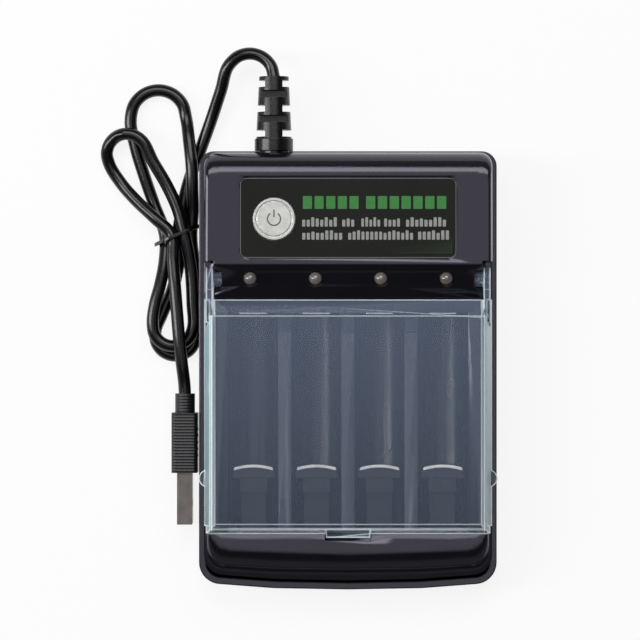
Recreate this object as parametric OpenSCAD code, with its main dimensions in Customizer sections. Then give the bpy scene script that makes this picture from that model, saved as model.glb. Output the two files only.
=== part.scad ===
// Four-bay charger for AA and AAA cells, with a clear flip-up lid and a captive lead.
// The origin is the centre of the casing's footprint on the table.
// +Z is up, +Y points to the end where the lead leaves, and +X is across the bays.

/* [Casing] */
// Width over the rear shell's rim
case_w = 89.8; // [89.4:0.1:92]
// Length over the rear shell's rim
case_l = 132.2; // [131.8:0.1:140]
// Height of the rim, where the two shells meet
rim_z = 11; // [10.5:0.1:11.5]
// Height of the control face
face_z = 27.5; // [27.2:0.1:28.5]
// Wall of both shells
wall = 2; // [1.6:0.1:2.2]
// How far the front shell's side stands back from the rim
rim_step = 1.7; // [1.5:0.1:1.9]
// How far the front shell's chin stands back from the rim
chin_step = 3.3; // [3:0.1:3.8]
// Radius under the rear shell's edge
base_round = 6; // [5.6:0.1:6.4]
// Corner radius at the chin end
chin_r = 6.6; // [6.5:0.1:7.5]
// Corner radius at the lead end
lead_end_r = 4.5; // [4:0.1:5]
// How far the chin's edge bows out
chin_bow = 1.6; // [0:0.1:2]
// Length over which the chin rounds down to the rim
chin_round = 9.4; // [8:0.1:10]

/* [Control end] */
// Length of the flat control face from the front shell's end
control_l = 33.5; // [33.2:0.1:33.8]
// Length of the lamp strip that slopes down to the lid
strip_l = 10.2; // [10:0.1:10.4]
// Drop of the lamp strip
strip_drop = 3.5; // [3.2:0.1:3.7]
// Label panel width
label_w = 64.6; // [60:0.2:68]
// Label panel length
label_l = 24; // [22:0.1:25]
// Label panel corner radius
label_r = 3; // [2:0.1:4]
// Label panel thickness
label_t = 0.45; // [0.3:0.05:0.6]
// Label panel centre, from the front shell's end
label_from_end = 19.8; // [19.3:0.1:20.1]
// Push button diameter
button_d = 12.5; // [12:0.1:14]
// Push button centre, left of the middle
button_x = -22.1; // [-23:0.1:-21]
// Width of the push button's flange beyond its cap
button_flange = 1.2; // [0.8:0.1:1.4]
// Push button travel
button_travel = 0.5; // [0.3:0.1:0.6]
// Indicator lamp diameter
led_d = 4; // [3:0.1:4.4]
// Distance from lamp to lamp
led_pitch = 19.5; // [19:0.1:19.8]
// How far the lamps lie down the strip
led_down = 4.3; // [4:0.1:4.7]

/* [Bays] */
// Largest cell diameter
cell_d = 14.5; // [14:0.1:14.6]
// Length of the short cell
short_cell_l = 44.5; // [44:0.1:45]
// Distance from bay to bay
bay_pitch = 18.9; // [18.6:0.1:19]
// Height of the bay floors
bay_floor_z = 10.8; // [10.6:0.1:11]
// Thickness of the bay floors
floor_t = 1.5; // [1.2:0.1:1.6]
// Height of the ribs between bays
rib_z = 20; // [19.5:0.1:20.5]
// Height of the raised rib ends
rib_end_z = 21.6; // [21:0.1:22]
// Height of the side rails
rail_z = 24.9; // [24.5:0.1:25.2]
// Width of each contact carriage
slider_w = 12.4; // [11.5:0.1:12.6]
// Length of each contact carriage
slider_l = 8.4; // [8:0.1:8.8]
// Travel of each contact carriage
slider_travel = 10.5; // [8:0.1:10.8]
// Width of the tongue that covers each carriage's slot
tongue_w = 7.6; // [6.8:0.1:8]
// Thickness of each tongue
tongue_t = 1.2; // [1:0.1:1.4]
// Contact strip thickness
strip_t = 0.5; // [0.4:0.05:0.6]
// Spring coil diameter
spring_d = 4.4; // [4:0.1:4.6]
// Spring wire diameter
spring_wire = 0.6; // [0.5:0.05:0.7]
// Turns in each spring
spring_turns = 5; // [4:1:6]

/* [Lid] */
// Lid width over its lower edge
lid_w = 86.2; // [85.8:0.1:86.8]
// Height of the lid's flat top
lid_z = 27.8; // [27.6:0.1:28.4]
// Height of the lid's lower side edge
lid_low_z = 20.4; // [20.2:0.1:20.8]
// Lid wall
lid_t = 1.5; // [1.3:0.1:1.6]
// How far the lid's sides lean in towards the top
lid_lean = 1.8; // [1.5:0.1:2]
// Hinge axis, from the lamp strip's lower edge
hinge_up = 5.7; // [5.5:0.1:5.9]
// Hinge axis height
hinge_z = 23; // [22.8:0.1:23.2]
// Hinge pin diameter
pin_d = 2.6; // [2.2:0.1:2.8]
// Diameter of the boss round each pin's root
boss_d = 4.6; // [4.2:0.1:4.8]
// Outer radius of each hinge arm
arm_r = 3.6; // [3.4:0.1:3.7]
// Width of the latch tab
latch_w = 13.2; // [11:0.1:15]
// Width of each round side tab
side_tab_w = 5.2; // [4:0.1:6]

/* [Electronics and fasteners] */
// Circuit board width
board_w = 66; // [64:0.5:68]
// Circuit board thickness
board_t = 1.6; // [1.2:0.1:1.8]
// Height of the circuit board's underside
board_z = 15; // [14.8:0.1:15.2]
// Casing screw thread diameter
screw_d = 2.6; // [2.4:0.1:2.8]
// Casing screw head diameter
screw_head_d = 5.2; // [4.8:0.1:5.4]
// Casing screw length
screw_l = 14; // [12:0.5:15]
// Board screw thread diameter
board_screw_d = 1.8; // [1.6:0.1:1.8]
// Board screw head diameter
board_screw_head_d = 3.6; // [3:0.1:4]
// Board screw length
board_screw_l = 6; // [5:0.1:6]
// Rubber foot diameter
foot_d = 8; // [7:0.1:8.4]
// How far the feet stand out
foot_h = 0.8; // [0.6:0.1:1]
// Vent slot length
vent_l = 13; // [10:0.5:14]
// Vent slots in the row
vents = 9; // [7:1:10]

/* [Lead] */
// Cord diameter
cord_d = 3.8; // [3.6:0.1:4]
// Strain relief length outside the casing
relief_l = 22.4; // [22.2:0.1:22.6]
// Strain relief diameter at the casing
relief_d = 11.6; // [11:0.1:12]
// Strain relief diameter at its tip
relief_tip_d = 8.9; // [8.4:0.1:9.4]
// Strain relief centre, left of the middle
relief_x = -22.3; // [-22.5:0.1:-22]
// Plug grip size on edge, thickness by height
grip_t = 7.8; // [7.4:0.1:8]
// Height of the plug grip as it stands on edge
grip_h = 15.7; // [15.5:0.1:15.9]
// Length of the plug grip
grip_l = 18; // [16:0.1:20]

/* [Hidden] */
$fn = 48;
BLEND_FN = 32;
SLICE = 0.1;
// A cut runs this far past the face that it opens
OVER = 1;
// Running clearance round the hinge pins, and the looser one round other fits
RUNNING = 0.06;
CLEAR = 0.3;

// Casing places
rim_x = case_w / 2;
end_y = case_l / 2;
front_x = rim_x - rim_step;
front_end_y = end_y - 0.7;
chin_y = -end_y + chin_step;
control_y = front_end_y - control_l;
strip_y = control_y - strip_l;
label_y = front_end_y - label_from_end;
button_y = label_y - 0.3;
led_y = control_y - led_down;
ledge_z = lid_low_z - 0.6;

// Bay places
bay_r = cell_d / 2 + 0.25;
bay_axis_z = bay_floor_z + bay_r;
bay_back_y = strip_y - 4.3;
nose_l = 1.6;
nose_r = 4.2;
nose_y = bay_back_y - nose_l;
preload = 0.6;
slider_y = nose_y - short_cell_l + preload;
bow_l = 1;
fold_l = 0.85;
plate_y = slider_y - bow_l;
// Radius of the bowed contact strips
bow_r = (slider_w * slider_w / 4 + bow_l * bow_l) / (2 * bow_l);
slider_back_y = slider_y - slider_l;
bay_front_y = slider_back_y - slider_travel - CLEAR;
tray_wall = 2.2;
front_wall_y = bay_front_y - tray_wall;
rib_end_l = 5.6;
rail_w = 3.8;
rail_x = lid_w / 2 - lid_lean - lid_t - 0.25;
rail_front_y = bay_front_y + 1;
track_w = 8;

// Slider stem, foot and spring, all under the bay floor
stem_w = 2.8;
stem_l = 6.6;
stem_y = slider_back_y + 0.6;
foot_w = 6.4;
liner_low_z = bay_floor_z - floor_t;
stop_y = -end_y + 15.2;
stop_t = 1.6;
stop_x = 1.5 * bay_pitch + spring_d;
// Tongue that runs along the trough and out under the chin
tongue_z = bay_axis_z - sqrt(pow(bay_r - CLEAR, 2) - pow(tongue_w / 2, 2));
tongue_end_y = bay_front_y - 0.8;
spring_z = foot_h + wall + CLEAR + spring_d / 2;

// Lid places
lid_x = lid_w / 2;
lid_front_y = front_wall_y + 0.5;
lid_back_y = strip_y - 0.4;
lid_ridge_y = lid_back_y - 4.9;
hinge_y = strip_y + hinge_up;
arm_t = 2;
arm_gap = 0.35;
strip_x = lid_x - lid_lean - arm_t / 2 - 0.2;
arm_x = strip_x + arm_gap;
pocket_l = 2.4;
pin_l = 2.2;
// Inner face of the solid blocks that hold the hinge bores
seat_x = strip_x - pocket_l - pin_l - 0.2;
// The arm's notch ends behind it, clear of it when the lid is open, and below it
notch_y = hinge_y + arm_r + 1.7;
notch_z = hinge_z - arm_r - 0.5;
side_tab_y = -32.2;
latch_z = 22.3;

// Board and fastener places
board_l = 29;
board_y = control_y + 5.7;
board_top_z = board_z + board_t;
post_x = board_w / 2 - 3;
posts = [
    [-post_x, board_y - 2.2], [post_x, board_y - 2.2],
    [-9, board_y + 11.3], [post_x, board_y + 11.3]
];
screw_back_y = end_y - 9.7;
screw_front_y = -end_y + 10.4;
// The front screws stand between the outer bays, clear of the carriages' tongues
screw_places = [
    for (side = [-1, 1]) each [[side * (rim_x - 10.8), screw_back_y], [side * bay_pitch, screw_front_y]]
];
screw_seat_z = foot_h + 3.2;
boss_top_z = 8;
foot_x = 31;
foot_y = [46, -44];

function bay_x(k) = (k - 2.5) * bay_pitch;
function led_x(k) = (k - 2.5) * led_pitch;
function strip_top(y) = face_z - strip_drop * (control_y - y) / strip_l;

// The cord's route, from the strain relief to the plug: the first arc runs down to the
// table, then two loops above the tie and two flat folds, one on the other, below it
function arc(x, y, r, from, to, z_from, z_to, n) = [
    for (i = [0:n])
        [
            x + r * cos(from + (to - from) * i / n), y + r * sin(from + (to - from) * i / n),
            z_from + (z_to - z_from) * i / n
        ]
];
tie_y = 41;
tie_gap = 0.85;
tie_t = 0.45;
low_z = cord_d / 2 + tie_gap + tie_t;
high_z = low_z + 3.6;
out_path = concat(
    arc(-29.7, 88.3, 7.4, 0, 145, 11, 7.6, 5),
    [
        [-38.4, 84.8, 5.6], [-41.4, 76, 3.2], [-44.7, 67, 2], [-47.9, 58.5, 1.9], [-50.1, 50, 2.1],
        [-51.45, tie_y, low_z], [-51.3, 33, 2.2], [-53.4, 24, 1.9], [-56.4, 17, 1.9]
    ],
    arc(-52.3, 10.6, 6.2, 172, 350, 1.9, 1.9, 6)
);
big_loop = concat(
    [
        [-46.1, 17, 1.9], [-46.3, 29, 2.1], [-47.45, tie_y, low_z], [-47, 48, 4.1],
        [-47.1, 55, 5.5], [-47.3, 62, 5.9], [-48.1, 69.5, 4.6]
    ],
    arc(-57.5, 76.6, 8.4, 0, 180, 2.3, 1.9, 6),
    [
        [-64.5, 68, 1.9], [-61.8, 59, 1.9], [-58.7, 50, 1.9], [-55.45, tie_y, low_z],
        [-55.5, 33, 4.8], [-56.8, 26, 5.6], [-58.5, 19.5, 5.7]
    ],
    arc(-53, 13.4, 6.1, 175, 350, 5.7, 5.7, 6)
);
small_loop = concat(
    [
        [-47, 20, 5.7], [-47.6, 31, 5.9], [-49.45, tie_y, high_z], [-51.4, 48.5, 6.5],
        [-54.8, 56, 6], [-58.9, 63, 5.9]
    ],
    arc(-67, 65.5, 6.1, 50, 98, 6, 5.8, 2),
    arc(-67, 65.5, 6.1, 125, 205, 4.7, 2.3, 3),
    [
        [-69, 57, 2.2], [-64, 51.3, 3.9], [-58.6, 46.2, 6], [-53.45, tie_y, high_z],
        [-52.9, 33, 7.8], [-52.2, 25, 8.9], [-51.5, 16.5, 9.4], [-50.8, 8, 9.6],
        [-50, 1, 9.1], [-49.4, -4.2, 8.1], [-49.2, -7.9, 7.85]
    ]
);
cord_points = concat(out_path, big_loop, small_loop);
cord_rings = 124;
CORD_SIDES = 8;
plug_x = -49.2;
plug_y = -7;
plug_z = grip_h / 2;
neck_l = 5.8;
shell_l = 15.6;
shell_w = 12;
shell_t = 4.5;

// Smooth sweep along a route
function slope(pts, i) =
    let (last = len(pts) - 1, back = pts[i] - pts[max(i - 1, 0)], on = pts[min(i + 1, last)] - pts[i])
    i == 0 ? on / norm(on) : i == last ? back / norm(back)
    : (on / norm(on) * norm(back) + back / norm(back) * norm(on)) / (norm(back) + norm(on));
function along(pts, u) =
    let (
        last = len(pts) - 1, i = min(floor(u), last - 1), t = u - i,
        span = norm(pts[i + 1] - pts[i])
    )
    (2 * t * t * t - 3 * t * t + 1) * pts[i] + (t * t * t - 2 * t * t + t) * span * slope(pts, i)
    + (3 * t * t - 2 * t * t * t) * pts[i + 1] + (t * t * t - t * t) * span * slope(pts, i + 1);
function unit(v) = v / norm(v);
function way(path, i) = unit(path[min(i + 1, len(path) - 1)] - path[max(i - 1, 0)]);
function ring(centre, along_v, side_v, r, sides) =
    let (a = unit(cross(along_v, side_v)), b = cross(a, along_v))
    [for (s = [0:sides - 1]) centre + r * (cos(360 * s / sides) * a + sin(360 * s / sides) * b)];
function skin(rings, sides) = concat(
    [[for (s = [0:sides - 1]) s]],
    [for (i = [0:rings - 2]) for (s = [0:sides - 1]) for (half = [0, 1])
        let (n = (s + 1) % sides, a = i * sides, b = a + sides)
        half == 0 ? [a + n, a + s, b + s] : [a + n, b + s, b + n]],
    [[for (s = [sides - 1:-1:0]) (rings - 1) * sides + s]]
);

module sweep(path, r, sides) {
    rings = [for (i = [0:len(path) - 1]) each ring(path[i], way(path, i), [0, 0, 1], r, sides)];
    polyhedron(points = rings, faces = skin(len(path), sides), convexity = 8);
}

// A thin slice of a casing under the height z, rounded at its corners and bowed at its
// chin end
module slice(x, y_low, y_high, r_low, r_high, z, bow = 0) {
    translate([0, 0, z - SLICE]) {
        for (side = [-1, 1]) {
            translate([side * (x - r_high), y_high - r_high, 0])
                cylinder(r = r_high, h = SLICE, $fn = BLEND_FN);
            translate([side * (x - r_low), y_low + bow + r_low, 0])
                cylinder(r = r_low, h = SLICE, $fn = BLEND_FN);
            translate([side * x / 2, y_low + bow / 4 + r_low, 0])
                cylinder(r = r_low, h = SLICE, $fn = BLEND_FN);
        }
        translate([0, y_low + r_low, 0]) cylinder(r = r_low, h = SLICE, $fn = BLEND_FN);
    }
}

// A flat plate with true round corners
module round_plate(w, l, r, h) {
    translate([-w / 2 + r, -l / 2, 0]) cube([w - 2 * r, l, h]);
    translate([-w / 2, -l / 2 + r, 0]) cube([w, l - 2 * r, h]);
    for (x = [-1, 1])
        for (y = [-1, 1])
            translate([x * (w / 2 - r), y * (l / 2 - r), 0]) cylinder(r = r, h = h);
}

module at_screws() {
    for (place = screw_places) translate([place[0], place[1], 0]) children();
}

module at_feet() {
    for (x = [-foot_x, foot_x])
        for (y = foot_y)
            translate([x, y, 0]) children();
}

module at_posts() {
    for (post = posts) translate([post[0], post[1], 0]) children();
}

// The hole that the strain relief's neck fills, half in each shell
module relief_hole() {
    translate([relief_x, end_y + OVER, rim_z])
        rotate([90, 0, 0]) cylinder(d = relief_d - 3 + 0.2, h = 3 * wall + OVER);
}

// Rear shell
module rear_body(inset, rise) {
    hull() {
        for (a = [90, 65, 42, 20])
            slice(
                rim_x - inset - base_round * (1 - cos(a)),
                -end_y + inset + base_round * (1 - cos(a)),
                end_y - inset - base_round * (1 - cos(a)),
                max(chin_r - inset, 1), max(lead_end_r - inset, 1),
                foot_h + rise + SLICE + base_round * (1 - sin(a)), chin_bow
            );
        slice(
            rim_x - inset, -end_y + inset, end_y - inset,
            max(chin_r - inset, 1), max(lead_end_r - inset, 1),
            rim_z + (inset > 0 ? OVER : 0), chin_bow
        );
    }
}

module rear_shell() {
    color([0.03, 0.03, 0.035]) difference() {
        union() {
            difference() {
                rear_body(0, 0);
                rear_body(wall, wall);
            }
            at_screws() translate([0, 0, foot_h + wall / 2])
                cylinder(d = screw_head_d + 3, h = boss_top_z - foot_h - wall / 2);
            translate([-stop_x, stop_y - stop_t, foot_h + wall / 2])
                cube([2 * stop_x, stop_t, spring_z + spring_d / 2 + CLEAR - foot_h - wall / 2]);
        }
        at_screws() {
            translate([0, 0, foot_h - OVER]) cylinder(d = screw_head_d + 0.4, h = screw_seat_z - foot_h + OVER);
            cylinder(d = screw_d + 0.5, h = rim_z);
        }
        at_feet() translate([0, 0, foot_h - OVER]) cylinder(d = foot_d + 0.2, h = OVER + wall / 4);
        for (i = [0:vents - 1])
            translate([(i - (vents - 1) / 2) * 4.2 - 0.9, 6, foot_h - OVER])
                cube([1.8, vent_l, wall + 2 * OVER]);
        relief_hole();
    }
}

// Front shell: outer forms
module front_base() {
    hull() {
        for (level = [[rim_z + SLICE, 0], [ledge_z, 0.05]])
            slice(
                front_x - level[1], chin_y + level[1], front_end_y - level[1],
                chin_r - 0.6, lead_end_r - 0.7, level[0], chin_bow
            );
    }
}

// Each level: how far under the face, and how far in at the sides and at the end
module control_block(inset) {
    hull() {
        for (level = [
            [face_z - rim_z - SLICE, 0, 0], [strip_drop + 2, 0.05, 0.05], [strip_drop, 0.12, 0.3],
            [2.2, 0.25, 0.9], [1.3, 0.4, 1.7], [0.65, 0.6, 2.8], [0.25, 0.85, 4], [0.06, 1.15, 5.2],
            [0, 1.5, 6.2]
        ])
            slice(
                front_x - inset - level[1],
                level[0] < strip_drop ? control_y : strip_y + inset,
                front_end_y - inset - level[2],
                0.4, max(lead_end_r - 0.7 - inset, 1.2), face_z - level[0] - inset
            );
    }
}

module chin_block(inset) {
    intersection() {
        translate([-rim_x, -end_y, 0]) cube([case_w, end_y + bay_front_y - inset, face_z]);
        chin_form(inset);
    }
}

// The chin rounds from its front and its sides to its top in equal steps
module chin_form(inset) {
    hull() {
        for (a = [0:9:90])
            slice(
                front_x - inset - 0.1 - 1.7 * (1 - cos(a)), chin_y + inset + chin_round * (1 - cos(a)),
                bay_front_y - inset, chin_r - 0.6, 0.4,
                rim_z - inset + max(sin(a) * (latch_z - rim_z), SLICE),
                chin_bow * (1 - sin(a) * 0.4)
            );
    }
}

// One bay's trough, open at the top
module trough(k, r, low_y, high_y, high_z) {
    translate([bay_x(k), high_y, bay_axis_z]) rotate([90, 0, 0]) cylinder(r = r, h = high_y - low_y, $fn = 96);
    translate([bay_x(k) - r, low_y, bay_axis_z]) cube([2 * r, high_y - low_y, high_z - bay_axis_z]);
}

module bay_tray() {
    intersection() {
        union() {
            for (k = [1:4]) trough(k, bay_r + floor_t, front_wall_y, bay_back_y + tray_wall, rib_z);
        }
        translate([-rail_x, front_wall_y, 0]) cube([2 * rail_x, strip_y - front_wall_y, rib_z]);
    }
    // Deck that carries the ribs, the raised rib ends and the side rails
    translate([-rail_x, front_wall_y, ledge_z - wall])
        cube([2 * rail_x, strip_y - front_wall_y, rib_z - ledge_z + wall]);
    translate([-rail_x, bay_back_y - rib_end_l, ledge_z - wall])
        cube([2 * rail_x, rib_end_l + OVER, rib_end_z - ledge_z + wall]);
    for (side = [-1, 1])
        translate([side * (rail_x - rail_w / 2) - rail_w / 2, rail_front_y, ledge_z - wall])
            cube([rail_w, bay_back_y - rail_front_y, rail_z - ledge_z + wall]);
    // End walls of the tray
    translate([-rail_x, bay_back_y, liner_low_z]) cube([2 * rail_x, tray_wall, rib_end_z + 1 - liner_low_z]);
    translate([-rail_x, bay_back_y, rib_end_z - 1]) cube([2 * rail_x, strip_y + OVER - bay_back_y, 2]);
    translate([-rail_x, front_wall_y, liner_low_z]) cube([2 * rail_x, tray_wall, latch_z - liner_low_z]);
}

module hinge_seats() {
    for (side = [-1, 1]) {
        // Open pocket for the boss round each pin's root
        translate([side * (strip_x - pocket_l / 2 + OVER / 2), hinge_y, hinge_z + 10])
            cube([pocket_l + OVER, boss_d + 0.7, 2 * 10 + boss_d + 0.7], center = true);
        // Bore that the pin turns in
        translate([side * (strip_x - pocket_l - 2), hinge_y, hinge_z])
            rotate([0, 90, 0]) cylinder(d = pin_d + 2 * RUNNING, h = 6, center = true);
        // Notch that the arm swings in
        translate([side > 0 ? strip_x : -strip_x - 10, strip_y - 2, notch_z]) cube([10, notch_y - strip_y + 2, 20]);
    }
}

module front_shell() {
    color([0.04, 0.04, 0.045]) difference() {
        union() {
            difference() {
                union() {
                    front_base();
                    control_block(0);
                    chin_block(0);
                }
                // Hollow under the control face, the lamp strip, the bays and the chin
                difference() {
                    control_block(wall);
                    translate([-rim_x, strip_y - OVER, 0]) cube([case_w, control_y + 1.5 - strip_y, face_z]);
                }
                translate([-seat_x, bay_back_y + tray_wall, 0])
                    cube([2 * seat_x, control_y + 2 - bay_back_y - tray_wall, face_z - strip_drop - wall]);
                // The blocks that hold the hinge bores stop above the board
                translate([-front_x + wall, bay_back_y + tray_wall, 0])
                    cube([2 * (front_x - wall), control_y + 2 - bay_back_y - tray_wall, notch_z - 1.3]);
                translate([-front_x + wall, front_wall_y, 0])
                    cube([2 * (front_x - wall), bay_back_y + tray_wall - front_wall_y, ledge_z - wall]);
                difference() {
                    chin_block(wall);
                    translate([-rim_x, front_wall_y, 0]) cube([case_w, 20, face_z]);
                }
            }
            bay_tray();
            at_posts() translate([0, 0, board_top_z]) cylinder(d = 5, h = face_z - wall / 2 - board_top_z);
            for (place = screw_places)
                translate([place[0], place[1], boss_top_z])
                    cylinder(d = 6.2, h = (place[1] > 0 ? face_z - wall / 2 : latch_z - 2 * wall + 0.4) - boss_top_z);
        }
        // Cell troughs
        for (k = [1:4]) {
            trough(k, bay_r, bay_front_y, bay_back_y, face_z + OVER);
            // Slot that the slider's stem runs in
            translate([bay_x(k) - stem_w / 2 - CLEAR, stem_y - slider_travel - CLEAR, 0])
                cube([stem_w + 2 * CLEAR, stem_l + slider_travel + 2 * CLEAR, bay_axis_z]);
            // Slot that the carriage's tongue runs in
            translate([bay_x(k) - tongue_w / 2 - CLEAR, front_wall_y - OVER, tongue_z - CLEAR])
                cube([tongue_w + 2 * CLEAR, tray_wall + 2 * OVER, tongue_t + 2 * CLEAR]);
            // Slot that the positive contact's leg passes through
            translate([bay_x(k) - 2.3, bay_back_y - OVER, board_top_z - 0.3])
                cube([4.6, tray_wall + 2 * OVER, strip_t + 0.6]);
        }
        // Label recess, button hole and lamp holes
        translate([0, label_y, face_z - label_t]) round_plate(label_w + 0.4, label_l + 0.4, label_r + 0.2, OVER);
        translate([button_x, button_y, face_z - wall - OVER]) cylinder(d = button_d + 0.5, h = wall + 2 * OVER);
        for (k = [1:4])
            translate([led_x(k), led_y, face_z - strip_drop - wall - OVER]) cylinder(d = led_d + 0.3, h = 10);
        hinge_seats();
        // Notch for the latch tab, and bores for the screws
        translate([-latch_w / 2 - 0.4, front_wall_y - 1.4, latch_z - 1.6]) cube([latch_w + 0.8, 4, 10]);
        at_screws() translate([0, 0, boss_top_z - OVER]) cylinder(d = screw_d + 0.1, h = 9.5 + OVER);
        at_posts() translate([0, 0, board_top_z - OVER])
            cylinder(d = board_screw_d + 0.1, h = board_screw_l - 1 + OVER);
        relief_hole();
    }
}

module label_panel() {
    color([0.13, 0.13, 0.11]) difference() {
        translate([0, label_y, face_z - label_t]) round_plate(label_w, label_l, label_r, label_t - 0.05);
        translate([button_x, button_y, face_z - OVER]) cylinder(d = button_d + 0.5, h = 2 * OVER);
    }
}

// Lid: side profiles across the hinge, laid along X
module lid_profile(half_w, points) {
    translate([-half_w, 0, 0]) rotate([90, 0, 90]) linear_extrude(height = 2 * half_w) polygon(points);
}

function lid_section(t, drop, low) = [
    [lid_front_y + t, low],
    [lid_front_y + t + 1, lid_z - 1 - drop - t],
    [lid_front_y + t + 1.7, lid_z - drop - t],
    [lid_ridge_y - t * 0.3, lid_z - drop - t],
    [lid_ridge_y + 1.4 - t * 0.5, lid_z - 0.8 - drop - t],
    [lid_back_y + (t > 0 ? OVER : 0), lid_z - 3.2 - drop - t - (t > 0 ? 0.68 * OVER : 0)],
    [lid_back_y + (t > 0 ? OVER : 0), low]
];

function lid_edge(y_low, y_high, z) = [
    [y_low, z], [y_high, z], [y_high, z + SLICE], [y_low, z + SLICE]
];

module lid() {
    color([0.6, 0.8, 0.85, 0.35]) {
        union() {
            difference() {
                hull() {
                    lid_profile(lid_x - lid_lean - 0.7, lid_section(0, 0, lid_z - 6));
                    lid_profile(lid_x - lid_lean, lid_section(0, 0.6, lid_z - 6));
                    lid_profile(lid_x, lid_edge(lid_front_y, lid_back_y, lid_low_z));
                }
                hull() {
                    lid_profile(lid_x - lid_lean - lid_t, lid_section(lid_t, 0, lid_z - 9));
                    lid_profile(
                        lid_x - lid_t + 0.2,
                        lid_edge(lid_front_y + lid_t, lid_back_y + OVER, lid_low_z - OVER)
                    );
                }
                // The front wall stops above the tray's end wall
                translate([-lid_x - OVER, lid_front_y - OVER, 0]) cube([lid_w + 2 * OVER, 3.6, latch_z + 0.4]);
            }
            // Hinge arms, faired into the sides
            for (side = [-1, 1])
                translate([side > 0 ? arm_x : -arm_x - arm_t, 0, 0]) rotate([90, 0, 90]) linear_extrude(height = arm_t) {
                    translate([hinge_y, hinge_z]) circle(r = arm_r);
                    polygon([
                        [hinge_y, hinge_z + arm_r], [lid_ridge_y - 2, lid_z - 1.2],
                        [lid_ridge_y - 4, lid_low_z + 0.6], [hinge_y - 3, lid_low_z + 0.2],
                        [hinge_y, hinge_z - arm_r]
                    ]);
                }
            // Half-round finger tabs on the long sides
            for (side = [-1, 1])
                intersection() {
                    translate([side * (lid_x - 1), side_tab_y, lid_low_z]) cylinder(d = side_tab_w, h = 1.3);
                    translate([side * (lid_x + 3.8) - 5, side_tab_y - side_tab_w, 0])
                        cube([10, 2 * side_tab_w, face_z]);
                }
            // Latch tab on the free edge
            translate([-latch_w / 2, lid_front_y - 0.8, latch_z - 0.9]) cube([latch_w, 2.6, 3.2]);
        }
        // Hinge bosses and pins
        for (side = [-1, 1])
            translate([side * arm_x, hinge_y, hinge_z]) rotate([0, -side * 90, 0]) {
                cylinder(d = boss_d, h = arm_gap + pocket_l - 0.25);
                cylinder(d = pin_d, h = arm_gap + pocket_l + pin_l);
            }
    }
}

// Fasteners and feet
module pan_screw(thread_d, head_d, head_h, l) {
    difference() {
        union() {
            cylinder(d = head_d, h = head_h);
            cylinder(d = thread_d, h = l);
        }
        for (turn = [0, 90])
            rotate([0, 0, turn]) translate([-head_d * 0.3, -0.35, -OVER]) cube([head_d * 0.6, 0.7, OVER + head_h * 0.5]);
    }
}

module casing_screws() {
    color([0.6, 0.6, 0.62]) at_screws()
        translate([0, 0, screw_seat_z - 1.8]) pan_screw(screw_d, screw_head_d, 1.8, screw_l);
}

module board_screws() {
    color([0.7, 0.7, 0.72]) at_posts()
        translate([0, 0, board_z - 1.2]) pan_screw(board_screw_d, board_screw_head_d, 1.2, board_screw_l);
}

module rubber_feet() {
    color([0.12, 0.12, 0.12]) at_feet() cylinder(d = foot_d, h = foot_h + wall / 4);
}

// Button, switch and board
module power_button() {
    flange_z = face_z - wall - 0.15;
    color([0.8, 0.8, 0.78]) translate([button_x, button_y, 0]) {
        difference() {
            translate([0, 0, flange_z - 0.9]) cylinder(d = button_d, h = face_z + 0.55 - flange_z + 0.9);
            // Shallow groove that rings the cap
            translate([0, 0, face_z + 0.35]) difference() {
                cylinder(d = button_d * 0.87, h = OVER);
                cylinder(d = button_d * 0.82, h = OVER);
            }
        }
        translate([0, 0, flange_z - 0.9]) cylinder(d = button_d + 2 * button_flange, h = 0.9);
        translate([0, 0, board_top_z + 4.8 + button_travel + 0.1])
            cylinder(d = 4, h = flange_z - board_top_z - 5 - button_travel);
    }
}

module tact_switch() {
    color([0.15, 0.15, 0.15]) translate([button_x, button_y, board_top_z]) {
        translate([-3, -3, 0]) cube([6, 6, 3.6]);
        cylinder(d = 3.4, h = 4.8);
    }
}

module circuit_board() {
    color([0.1, 0.35, 0.18]) difference() {
        translate([0, board_y, board_z]) round_plate(board_w, board_l, 1, board_t);
        at_posts() translate([0, 0, board_z - OVER]) cylinder(d = 2.2, h = board_t + 2 * OVER);
    }
}

module controller_chip() {
    color([0.1, 0.1, 0.1]) translate([6, board_y + 4, board_z - 1.5]) {
        translate([-3, -5, 0]) cube([6, 10, 1.5]);
        for (side = [-1, 1])
            for (i = [0:6])
                translate([side * 3.4 - 0.5, (i - 3) * 1.27 - 0.2, 1.2]) cube([1, 0.4, 0.3]);
    }
}

module power_inductor() {
    color([0.3, 0.3, 0.32]) translate([-6, board_y + 5, board_z - 4]) {
        cylinder(d = 7, h = 1);
        cylinder(d = 4, h = 4);
        translate([0, 0, 3]) cylinder(d = 7, h = 1);
    }
}

module capacitors() {
    color([0.5, 0.5, 0.55])
        for (x = [18, 25])
            translate([x, board_y + 6, board_z - 8]) {
                cylinder(d = 5, h = 7.6);
                translate([0, 0, 7.4]) cylinder(d = 5.4, h = 0.6);
            }
}

module led(k) {
    z = strip_top(led_y) - 0.4;
    color([0.45, 0.42, 0.4]) translate([led_x(k), led_y, 0]) {
        translate([0, 0, z]) sphere(d = led_d);
        translate([0, 0, z - 4]) cylinder(d = led_d, h = 4);
        for (side = [-1, 1])
            translate([side * 1 - 0.25, -0.25, board_top_z]) cube([0.5, 0.5, z - 3.5 - board_top_z]);
    }
}

// Contacts, carriages and springs
module positive_contact(k) {
    color([0.75, 0.75, 0.75]) translate([bay_x(k), bay_back_y, 0]) {
        translate([-4, -0.4, bay_axis_z - 4.6]) cube([8, 0.4, 8.4]);
        // Pressed dome that meets the cell
        intersection() {
            translate([0, nose_r - nose_l, bay_axis_z]) sphere(r = nose_r);
            translate([-4, -nose_l - OVER, bay_axis_z - 4]) cube([8, nose_l + OVER - 0.1, 8]);
        }
        // Leg that runs back to the board
        translate([-1.9, -0.4, board_top_z]) cube([3.8, board_y - board_l / 2 + 1.6 - bay_back_y + 0.4, strip_t]);
    }
}

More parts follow.
